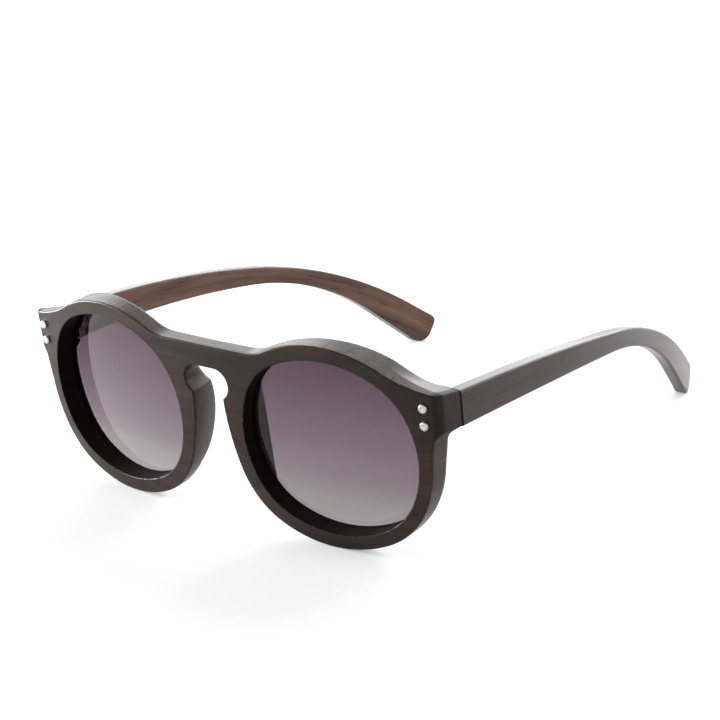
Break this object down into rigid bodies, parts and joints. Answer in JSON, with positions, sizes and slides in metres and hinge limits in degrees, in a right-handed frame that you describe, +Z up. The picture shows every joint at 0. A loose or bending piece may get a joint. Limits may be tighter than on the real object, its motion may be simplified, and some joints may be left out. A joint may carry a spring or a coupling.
{
  "type": "wooden sunglasses",
  "caption": "Round dark wooden sunglasses with a keyhole bridge, tinted lenses, riveted hinges and bowed side arms that fold in behind the front.",
  "frame": {"origin": "on the floor, below the middle of the standing object's bounding box", "axes": "+Z up from the floor the rims and arm tips stand on, the front faces -Y, the arms run back to +Y, +X is the wearer's left"},
  "size_m": [0.1344, 0.1602, 0.0535],
  "materials": {
    "front_wood": "dark stained hardwood, satin oiled",
    "pad_wood": "dark stained hardwood, satin oiled",
    "temple_wood": "dark brown hardwood with visible grain, satin oiled",
    "tinted_lens": "grey violet tinted sheet, polished, darker at the top",
    "hinge_steel": "stamped steel, satin",
    "rivet_steel": "bright turned head",
    "screw_steel": "bright slotted head"
  },
  "bodies": {
    "front": {"front_frame": "front_wood", "left_lens": "tinted_lens", "right_lens": "tinted_lens", "left_nose_pad": "pad_wood", "right_nose_pad": "pad_wood", "left_front_leaf": "hinge_steel", "right_front_leaf": "hinge_steel", "left_hinge_screw": "screw_steel", "right_hinge_screw": "screw_steel", "left_upper_rivet": "rivet_steel", "left_lower_rivet": "rivet_steel", "right_upper_rivet": "rivet_steel", "right_lower_rivet": "rivet_steel"},
    "left_arm": {"left_temple": "temple_wood", "left_temple_leaf": "hinge_steel", "left_near_screw": "screw_steel", "left_far_screw": "screw_steel"},
    "right_arm": {"right_temple": "temple_wood", "right_temple_leaf": "hinge_steel", "right_near_screw": "screw_steel", "right_far_screw": "screw_steel"}
  },
  "joints": [
    {"name": "left_fold", "type": "hinge", "parent": "front", "child": "left_arm", "pos_m": [0.0602, -0.06423, 0.03905], "axis": [0, -0.1132, 0.9936], "range_deg": [0, 86]},
    {"name": "right_fold", "type": "hinge", "parent": "front", "child": "right_arm", "pos_m": [-0.0602, -0.06423, 0.03905], "axis": [0, 0.1132, -0.9936], "range_deg": [0, 80]}
  ]
}
